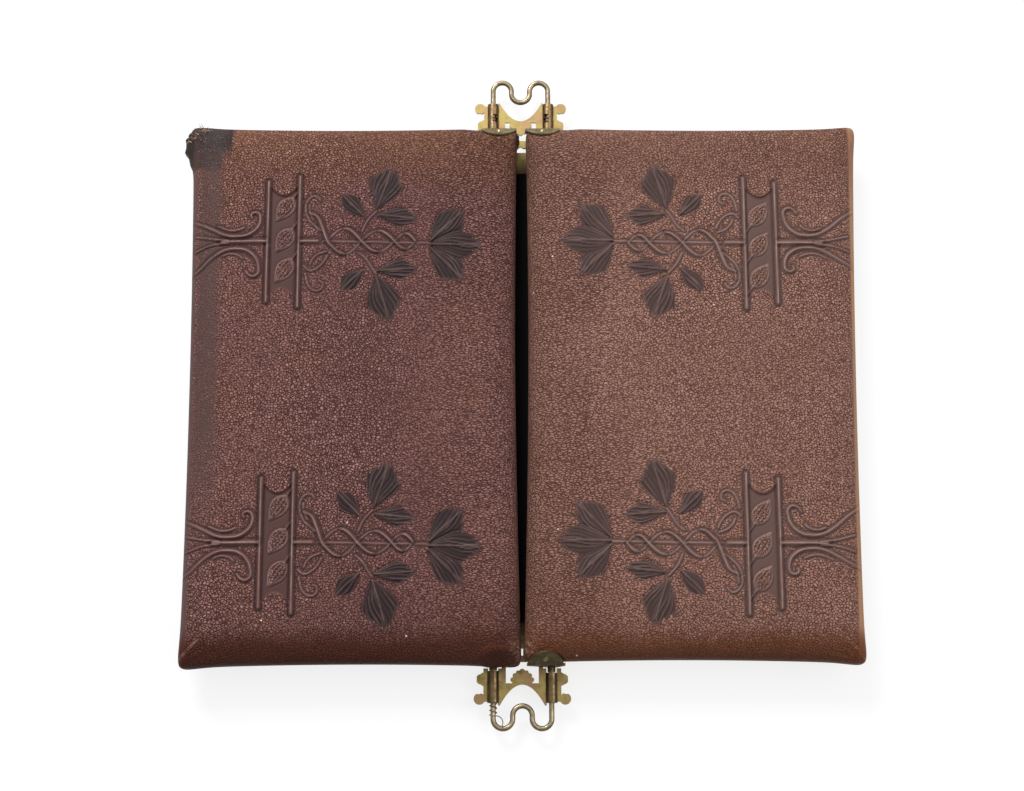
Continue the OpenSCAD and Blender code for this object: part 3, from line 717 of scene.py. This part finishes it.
def close_cover(top, faces, attributes, rows, columns):
    """Adds the sides, the turned-in edge and the underside as rings round the grid's rim."""
    index = np.arange(rows * columns).reshape(rows, columns)
    rim = np.concatenate([index[0], index[1:, -1], index[-1, -2::-1], index[-2:0:-1, 0]])
    around = len(rim)
    edge = top[rim]
    rings = []
    for inset, z in RINGS:
        ring = edge.copy()
        ring[:, 0] = COVER_MID + (edge[:, 0] - COVER_MID) * (1 - inset / HALF_W)
        ring[:, 1] = edge[:, 1] * (1 - inset / HALF_H)
        ring[:, 2] = z
        rings.append(ring)
    first = len(top)
    middle = np.array([[COVER_MID, 0.0, BOARD_Z]])
    points = np.concatenate([top] + rings + [middle])
    step = np.arange(around)
    after = (step + 1) % around
    faces += np.stack([rim[after], rim[step], first + step, first + after], axis=1).tolist()
    faces += ring_faces(len(RINGS), around, first)[:, ::-1].tolist()
    last = first + (len(RINGS) - 1) * around
    centre = len(points) - 1
    faces += np.stack([last + after, last + step, np.full(around, centre)], axis=1).tolist()
    extra = len(points) - len(top)
    attributes = {name: np.concatenate([values, np.zeros(extra)]) for name, values in attributes.items()}
    return points, faces, attributes


def add_cover(side, material):
    """One padded cover in its leather; the left one is the mirror image in x."""
    points, faces, attributes = cover_mesh(side)
    if side == "left":
        points = points * (-1, 1, 1)
        faces = [face[::-1] for face in faces]
    piece = add_mesh(f"{side}_cover_leather", points, faces, material, f"{side}_cover")
    for name, values in attributes.items():
        layer = piece.data.attributes.new(name, "FLOAT", "POINT")
        layer.data.foreach_set("value", values.astype(np.float32))
    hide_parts(f"{side}_leather", f"{side}_padding")


FIBRES = 150
FIBRE_TONES = (colour(0.12, 0.07, 0.045), colour(0.52, 0.38, 0.29))
# Where the torn edge starts, and how far it runs towards the spine and the head
FRAY_START = (-102.6, 78.6)
FRAY_RUN = (5.4, 3.6)


def add_fray():
    """Torn fibres at the left cover's head corner: short rods that curl as they leave it."""
    draw = np.random.default_rng(7)
    rods = []
    for _ in range(FIBRES):
        place = draw.uniform(0, 1)
        root_x = FRAY_START[0] + FRAY_RUN[0] * place
        root_y = FRAY_START[1] + FRAY_RUN[1] * min(1.0, 1.6 * place)
        root = np.array([root_x, root_y, draw.uniform(11.0, 15.0)])
        root[:2] += draw.normal(0, 0.5, 2)
        heading = np.array([-0.5 + 0.5 * place, 0.15, 0.6]) + draw.normal(0, 0.55, 3)
        heading /= np.linalg.norm(heading)
        curl = draw.normal(0, 0.8, 3)
        share = np.linspace(0, 1, 7)[:, None]
        length = draw.uniform(0.9, 2.3)
        path = root + length * (share * heading + share ** 2 * curl * 0.5)
        rods.append(tube(path, draw.uniform(0.09, 0.17) * (1 - 0.6 * share[:, 0]), 5))
    shift = np.cumsum([0] + [len(points) for points, _ in rods])
    faces = [[index + first for index in face] for first, (_, part) in zip(shift, rods) for face in part]
    made = Finish("torn_fibre", {"Specular IOR Level": 0.2})
    tone = made.mix(made.noise(1.4, 3.0).ramp(0.40, 0.60), *FIBRE_TONES)
    made.wear(colour=tone, rough=made.noise(0.5) * 0.2 + 0.7)
    points = np.concatenate([points for points, _ in rods])
    piece = add_mesh("torn_corner_fibres", points, faces, made.material, "left_cover")


# ---- Leather ----

# The foot tones are painted shade towards the tail, where the slope faces away from the light.
LEATHER_TONES = {
    "left": {"hill": colour(0.190, 0.087, 0.076), "valley": colour(0.026, 0.008, 0.007),
             "shade": colour(0.058, 0.021, 0.026), "warm": colour(0.168, 0.072, 0.034),
             "hem": colour(0.074, 0.043, 0.042), "foot": colour(0.052, 0.012, 0.005)},
    "right": {"hill": colour(0.264, 0.134, 0.104), "valley": colour(0.042, 0.016, 0.011),
              "shade": colour(0.085, 0.034, 0.026), "warm": colour(0.185, 0.088, 0.050),
              "hem": colour(0.370, 0.195, 0.100), "foot": colour(0.106, 0.033, 0.012)},
}
GLINT_TONE = colour(0.520, 0.330, 0.290)
LEAF_TONE = colour(0.014, 0.008, 0.009)
RIDGE_HIGHLIGHT_TONE = colour(0.330, 0.230, 0.205)
SMOOTH_SHEEN_TONE = colour(0.095, 0.085, 0.088)
RUBBED_TONE = colour(0.048, 0.030, 0.027)
BARE_TONE = colour(0.024, 0.018, 0.020)
TORN_TONE = colour(0.024, 0.016, 0.011)
SCUFF_TONE = colour(0.400, 0.250, 0.190)
SPECK_TONE = colour(0.750, 0.650, 0.600)
# What the head zone's colour is multiplied by: painted shade at the head
HEAD_SHADE = colour(0.70, 0.66, 0.70)
PEBBLE = 0.85
HEM_WIDTH = 2.3
# How far the outer edge stands out, and how much it leans for each mm towards the head
EDGE_LEAN = {"left": (0.0, 0.009), "right": (0.86, 0.020)}
# Shares of shade in the middle, warmth at the head, painted grey sheen on the smooth parts, dark in the
# leaves, and scuff
LEATHER_SHARES = {
    "left": {"shade": 0.30, "warm": 0.75, "smooth": 0.05, "leaf": 0.96, "scuff": 0.8},
    "right": {"shade": 0.20, "warm": 0.5, "smooth": 0.26, "leaf": 0.78, "scuff": 1.6},
}


def leather(side):
    """Pebbled leather: cells with dark creases between them, drawn out across the cover near the spine.

    Out runs from the spine to the outer edge. Lying is where the pebbling is pressed or rubbed
    flat: the ornament, the hem and, on the left cover, a strip along the outer edge.
    """
    tones = LEATHER_TONES[side]
    shares = LEATHER_SHARES[side]
    made = Finish(f"{side}_pebbled_leather", {"Specular IOR Level": 0.13, "Sheen Weight": 0.0})
    x, y, _ = made.axes()
    out = x if side == "right" else -x
    plain = made.attribute("plain")
    dark = made.attribute("dark")
    shine = made.attribute("shine") * made.noise(4.5).ramp(0.36, 0.64, 0.55, 1.15)
    clouds = made.noise(17.0, 4.0).ramp(0.35, 0.68)
    patches = made.noise(42.0, 3.0).ramp(0.38, 0.62)
    small = made.noise(0.4, 2.0)
    round_rim = made.cells(PEBBLE, "DISTANCE_TO_EDGE", (1, 1.1, 1), 0.9)
    long_rim = made.cells(PEBBLE * 0.86, "DISTANCE_TO_EDGE", (0.55, 1.25, 1), 0.9)
    drawn = (out.ramp(52.0, 12.0) * 0.75 + patches * 0.35).least(1.0)
    rim = round_rim * (1 - drawn) + long_rim * drawn
    lean, slope = EDGE_LEAN[side]
    hem = COVER_IN + COVER_W + lean - HEM_WIDTH
    fore = (out - y * slope).ramp(hem - 0.5, hem + 0.5)
    lying = 1 - (1 - plain) * (1 - fore)
    if side == "left":
        high = (y + made.noise(12.0) * 30.0).ramp(-40.0, 5.0)
        mottle = made.noise(2.6, 4.0, 0.65).ramp(0.36, 0.60)
        strip_x = out + made.noise(4.0) * 1.6
        band = strip_x.ramp(91.4, 94.8) * strip_x.ramp(100.6, 98.8) * high
        lying = 1 - (1 - lying) * (1 - band * (0.35 + mottle * 0.4))
    pebble = (rim + small * 0.10 - 0.05).ramp(-0.02, 0.20)
    grain = pebble * (1 - lying) + lying * 0.52
    base = made.mix(grain, tones["valley"], tones["hill"])
    base = made.mix(clouds * 0.25 * pebble, base, tones["warm"])
    base = made.mix(fore * 0.8, base, tones["hem"])
    drift = made.noise(9.0) * 6.0
    if side == "left":
        middle = out.ramp(12.0, 34.0) * out.ramp(78.0, 44.0)
        head_reach = out.ramp(60.0, 24.0)
    else:
        middle = out.ramp(40.0, 6.0)
        head_reach = 0.8
    # Painted shade: the far head of each cover is darkened.
    far_head_shade = (drift + y).ramp(58.0, 80.0) * head_reach
    gloom = (middle * shares["shade"] * (0.6 + clouds * 0.4) + patches * 0.14).least(0.85)
    base = made.mix(gloom, base, tones["shade"])
    base = made.mix(far_head_shade * 0.95, base, HEAD_SHADE, "MULTIPLY")
    # Painted shade towards the tail: some near the spine, then full along the tail edge.
    near_foot = (drift - y).ramp(52.0, 82.0) * out.ramp(62.0, 8.0)
    base = made.mix(near_foot * 0.38, base, tones["foot"])
    foot = (drift - y).ramp(HALF_H - 9.0, HALF_H - 0.5)
    base = made.mix(foot * 0.92, base, tones["foot"])
    head = (drift * 2.0 + y).ramp(62.0, 84.0)
    base = made.mix(head * shares["warm"] * pebble, base, tones["warm"])
    if side == "left":
        base = made.mix(band * (0.40 + mottle * 0.32), base, RUBBED_TONE)
        edge_x = out + made.noise(1.6, 3.0) * 2.0
        edge_y = y + made.noise(3.0, 3.0) * 5.0
        bare = edge_x.ramp(90.3, 91.3) * edge_y.ramp(74.0, 79.0)
        below = edge_x.ramp(93.2, 94.6) * edge_y.ramp(70.0, 72.5) * 0.8
        base = made.mix(bare.most(below) * 0.86, base, BARE_TONE)
    # Painted sheen: a grey reflection laid over the smooth, pressed parts.
    base = made.mix(plain * (1 - fore) * shares["smooth"], base, SMOOTH_SHEEN_TONE)
    base = made.mix(dark * shares["leaf"] * (1 - fore * 0.8), base, LEAF_TONE)
    # Painted highlight along the ridges and ribs, partly rubbed wear.
    base = made.mix(shine * 0.56 * (1 - fore * 0.8), base, RIDGE_HIGHLIGHT_TONE)
    lit = made.noise(1.7, 3.0).ramp(0.42, 0.66)
    glint = rim.ramp(0.14, 0.40) * lit * (1 - lying) * (1 - foot) * (1 - drawn * 0.6)
    base = made.mix(glint * 0.38 * (1 - far_head_shade * 0.4), base, GLINT_TONE)
    corner = (out + drift).ramp(8.0, 3.6) * (drift - y).ramp(HALF_H - 7.0, HALF_H - 2.0)
    scuff = made.noise(0.8, 5.0, 0.75).ramp(0.69, 0.78) * (0.35 + 0.65 * fore)
    scuff = scuff.most(corner * made.noise(0.9, 4.0, 0.7).ramp(0.45, 0.6) * shares["scuff"])
    from_tail = y + HALF_H
    mitre = abs(out + from_tail - COVER_IN - COVER_W).ramp(1.0, 0.1) * from_tail.ramp(11.0, 6.0) * lit
    scuff = scuff.most(mitre * 0.7)
    base = made.mix(scuff * 0.42, base, SCUFF_TONE)
    if side == "left":
        torn = (out - 0.06 * abs(y - TEAR_Y)).ramp(101.3, 102.3) * abs(y - TEAR_Y + 1.2).ramp(7.6, 5.6)
        gap_tear = out.ramp(2.4, 1.4) * abs(y - GAP_TEAR_Y).ramp(3.4, 2.2)
        base = made.mix(torn.most(gap_tear) * (0.7 + 0.3 * mottle), base, TORN_TONE)
    specks = made.cells(11.0, "F1").ramp(0.034, 0.020)
    base = made.mix(specks * 0.8, base, SPECK_TONE)
    rough = 0.46 + small * 0.16 - lying * 0.04 + clouds * 0.08 - shine * 0.12 + dark * 0.08
    fine = made.noise(0.28, 2.0)
    normal = made.bump((grain, 0.26), (small * (1 - lying), 0.06), (fine, 0.015))
    return made.wear(colour=base, rough=rough, normal=normal)


# ---- Finishes of the rigid parts ----

# Axis of the wires' legs and where the barrels open, from the part's source
AXIS_X = 8.7
AXIS_Z = 5.2
BARREL_MOUTH = 94.5
# A lighter brown for the inside of the barrels: the bore's own dull brown, partly painted light where it lies
# in shade.
BORE_LIGHTENED_TONE = colour(0.340, 0.215, 0.120)
METAL_SHADE_TONE = colour(0.028, 0.018, 0.009)


def aged_metal(name, bright, dull, tarnish, size, rough, crest=None, rosy=None, hidden=0.0,
               tail=0.0, bore=None):
    """Metal whose bright skin has tarnished in clouds, with fine scratches and pits.

    A crest is two heights: below the first the sides are painted fully dark as shade, and above
    the second the top keeps its bright skin. Rosy is a copper stain in wide patches. Hidden is the
    share of painted shade on what lies under the covers, and tail the share of painted shade towards
    the tail. Bore is the radius and the reach in y within which the metal lies in a barrel, a dull
    non-metal brown, lighter than the shade there, that stands in part for light in the bore.
    """
    made = Finish(name, {"Specular IOR Level": 0.5})
    x, y, z = made.axes()
    clouds = made.noise(size, 5.0, 0.62).ramp(tarnish - 0.16, tarnish + 0.18)
    specks = made.noise(0.30, 3.0, 0.7).ramp(0.62, 0.74)
    scratches = made.noise(0.25, 4.0, 0.7, (0.2, 2.6, 2.6), (0.2, 0.1, 0.5))
    tone = made.mix(clouds * 0.8, bright, dull)
    if rosy:
        tone = made.mix(made.noise(5.5, 3.0).ramp(0.44, 0.60) * 0.75, tone, rosy)
    tone = made.mix(specks * 0.4, tone, dull)
    # Painted shade: below the crest, under the covers and towards the tail.
    if crest:
        tone = made.mix(z.ramp(crest[1], crest[0]) * 0.92, tone, METAL_SHADE_TONE)
    if hidden:
        tone = made.mix(abs(y).ramp(81.5, 71.5) * hidden, tone, METAL_SHADE_TONE)
    if tail:
        tone = made.mix(y.ramp(20.0, -60.0) * tail, tone, METAL_SHADE_TONE)
    metal = 0.94 - clouds * 0.2
    if bore:
        off_axis = ((abs(x) - AXIS_X) ** 2 + (z - AXIS_Z) ** 2) ** 0.5
        inside = off_axis.ramp(bore[0] + 0.08, bore[0]) * abs(y).ramp(bore[1] + 0.1, bore[1])
        tone = made.mix(inside, tone, BORE_LIGHTENED_TONE)
        metal = metal * (1 - inside * 0.9)
    return made.wear(
        colour=tone,
        metal=metal,
        rough=rough + clouds * 0.16 + specks * 0.1,
        normal=made.bump((scratches, 0.003), (specks, 0.004)),
    )


def card(name, light, dark, size):
    """Fibrous board or paper: cloudy colour, short fibres and a soft tooth."""
    made = Finish(name, {"Specular IOR Level": 0.25})
    fibres = made.noise(0.6, 4.0, 0.7, (0.35, 2.0, 1.0), (0, 0, 0.4))
    clouds = made.noise(size, 4.0).ramp(0.3, 0.7)
    specks = made.noise(0.5, 2.0, 0.6).ramp(0.68, 0.76)
    tone = made.mix(clouds * 0.6 + fibres * 0.3, light, dark)
    tone = made.mix(specks * 0.4, tone, dark)
    return made.wear(colour=tone, rough=0.82 + fibres * 0.1, normal=made.bump((fibres, 0.03)))


def woven(name, light, dark, thread, gloss=0.3):
    """Plain weave: the product of two sine waves, one thread over and one under."""
    made = Finish(name, {"Specular IOR Level": gloss, "Sheen Weight": 0.0})
    x, y, _ = made.axes()
    turn = 2 * math.pi / thread
    weave = (x * turn).sine() * (y * turn).sine() * 0.5 + 0.5
    clouds = made.noise(9.0, 3.0).ramp(0.35, 0.7)
    tone = made.mix(weave * 0.7, dark, light)
    tone = made.mix(clouds * 0.35, tone, dark)
    return made.wear(colour=tone, rough=0.8 + weave * 0.1, normal=made.bump((weave, 0.05)))


def ebonised_wood(name):
    """Black-stained wood with long grain along the spine."""
    made = Finish(name, {"Specular IOR Level": 0.4})
    grain = made.noise(1.1, 5.0, 0.65, (1.0, 0.06, 1.0))
    tone = made.mix(grain.ramp(0.35, 0.7), colour(0.012, 0.010, 0.009), colour(0.040, 0.030, 0.024))
    return made.wear(colour=tone, rough=0.45 + grain * 0.2, normal=made.bump((grain, 0.06)))


FINISHES = {
    "plate": aged_metal("aged_brass", colour(0.42, 0.325, 0.115), colour(0.23, 0.155, 0.050),
                        0.54, 2.4, 0.30, rosy=colour(0.36, 0.215, 0.120), hidden=0.97, tail=0.30),
    "bracket": aged_metal("dull_brass", colour(0.27, 0.21, 0.095), colour(0.085, 0.060, 0.027),
                          0.46, 2.0, 0.36, tail=0.62),
    "barrel": aged_metal("brown_bronze", colour(0.34, 0.225, 0.110), colour(0.105, 0.066, 0.030),
                         0.48, 1.4, 0.26, crest=(5.8, 6.95), tail=0.52, bore=(1.42, 200.0)),
    "wire": aged_metal("worn_wire", colour(0.37, 0.295, 0.190), colour(0.14, 0.100, 0.056),
                       0.50, 1.6, 0.28, crest=(5.20, 5.95), bore=(0.95, BARREL_MOUTH)),
    "spring": aged_metal("blued_steel", colour(0.16, 0.14, 0.12), colour(0.06, 0.045, 0.032),
                         0.50, 0.8, 0.30),
    "rivet": aged_metal("rivet_brass", colour(0.42, 0.32, 0.16), colour(0.13, 0.088, 0.045),
                        0.50, 1.0, 0.30, tail=0.4),
    "board": card("strawboard", colour(0.36, 0.27, 0.17), colour(0.20, 0.14, 0.09), 5.0),
    "lining": card("lining_paper", colour(0.42, 0.36, 0.27), colour(0.30, 0.24, 0.17), 14.0),
    "leaf": card("leaf_card", colour(0.62, 0.55, 0.42), colour(0.48, 0.40, 0.28), 20.0),
    "guard": woven("guard_linen", colour(0.42, 0.36, 0.27), colour(0.22, 0.18, 0.13), 0.6),
    # The spine cloth's near black is partly its own black, partly painted shade of the gap between the
    # covers.
    "cloth": woven("black_cloth", colour(0.006, 0.005, 0.005), colour(0.002, 0.002, 0.002), 0.5, 0.04),
    "wood": ebonised_wood("ebonised_wood"),
}
NODE_FINISHES = (
    ("link_plate", "plate"), ("barrel", "barrel"), ("hinge_wire", "wire"), ("spring", "spring"),
    ("backbone_rivets", "rivet"), ("backbone", "wood"), ("spine_cloth", "cloth"), ("guard", "guard"),
    ("leaf", "leaf"), ("board", "board"), ("lining", "lining"), ("bracket", "bracket"), ("rivets", "rivet"),
)


def finish_nodes():
    """Gives every CAD node the finish whose word its name holds."""
    for name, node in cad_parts.items():
        words = [finish for word, finish in NODE_FINISHES if word in name]
        if words:
            for slot in node.material_slots:
                slot.material = FINISHES[words[0]]


# ---- Camera, floor and light ----

CAMERA_PLACE = (-5.4705, -146.3662, 603.5309)
CAMERA_TURN = (0.2388, -0.0038, -0.002)
CAMERA_LENS = 70.31
FLOOR_REACH = 3000.0
SOFT_BOX = (0.0, 0.42, 0.91)
SKY_RISE = (("From Min", 0.10), ("From Max", 0.95), ("To Min", 0.08), ("To Max", 1.0))
# Name, place in metres, size and power of each soft lamp
LAMPS = (("key", (-0.45, 1.0, 0.95), 0.6, 22.0), ("fill", (1.0, 0.1, 1.1), 0.9, 7.0))


def add_camera():
    """A camera high over the open album, a little towards its tail."""
    data = bpy.data.cameras.new("camera")
    data.lens = CAMERA_LENS
    data.sensor_width = 36.0
    camera = bpy.data.objects.new("camera", data)
    camera.location = [number * MM for number in CAMERA_PLACE]
    camera.rotation_euler = CAMERA_TURN
    bpy.context.scene.collection.objects.link(camera)
    bpy.context.scene.camera = camera


def add_lamp(name, place, size, power):
    """A square soft box that looks at the middle of the album."""
    data = bpy.data.lights.new(name, "AREA")
    data.shape = "SQUARE"
    data.size = size
    data.energy = power
    lamp = bpy.data.objects.new(name, data)
    lamp.location = place
    x, y, z = place
    lamp.rotation_euler = (0, math.atan2(math.hypot(x, y), z), math.atan2(y, x))
    bpy.context.scene.collection.objects.link(lamp)


def add_floor():
    """A plain white floor that still takes the shadow."""
    reach = FLOOR_REACH * MM
    points = [(-reach, -reach, 0), (reach, -reach, 0), (reach, reach, 0), (-reach, reach, 0)]
    mesh = bpy.data.meshes.new("floor")
    mesh.from_pydata(points, [], [(0, 1, 2, 3)])
    made = Finish("floor_white", {"Base Color": colour(0.86, 0.86, 0.86), "Roughness": 0.9})
    seen = made.node("ShaderNodeLightPath", out="Is Camera Ray")
    gloss = made.node("ShaderNodeLightPath", out="Is Glossy Ray")
    glow = made.node("ShaderNodeEmission", {}, {"Color": colour(1, 1, 1), "Strength": 1.0})
    share = (seen + gloss).least(1.0) * 0.80
    mixed = made.node("ShaderNodeMixShader", {}, {0: share, 1: Value(made, made.shader.outputs[0]), 2: glow})
    made.tree.links.new(mixed.socket, made.output.inputs[0])
    mesh.materials.append(made.material)
    floor = bpy.data.objects.new("floor", mesh)
    bpy.context.scene.collection.objects.link(floor)


def add_world():
    """A soft box over the head end in a dim room: brightness rises towards its direction."""
    world = bpy.data.worlds.new("studio")
    world.use_nodes = True
    nodes = world.node_tree.nodes
    links = world.node_tree.links
    where = nodes.new("ShaderNodeTexCoord")
    toward = nodes.new("ShaderNodeVectorMath")
    toward.operation = "DOT_PRODUCT"
    toward.inputs[1].default_value = SOFT_BOX
    links.new(where.outputs["Generated"], toward.inputs[0])
    rise = nodes.new("ShaderNodeMapRange")
    rise.interpolation_type = "SMOOTHSTEP"
    for name, number in SKY_RISE:
        rise.inputs[name].default_value = number
    links.new(toward.outputs["Value"], rise.inputs["Value"])
    sky = nodes["Background"]
    sky.inputs["Color"].default_value = colour(1.0, 1.0, 1.0)
    links.new(rise.outputs[0], sky.inputs["Strength"])
    bpy.context.scene.world = world


# ---- The scene ----

bpy.context.scene.view_settings.view_transform = "Standard"
add_camera()
add_floor()
add_world()
for lamp in LAMPS:
    add_lamp(*lamp)
finish_nodes()
for side in ("left", "right"):
    add_cover(side, leather(side))
add_fray()
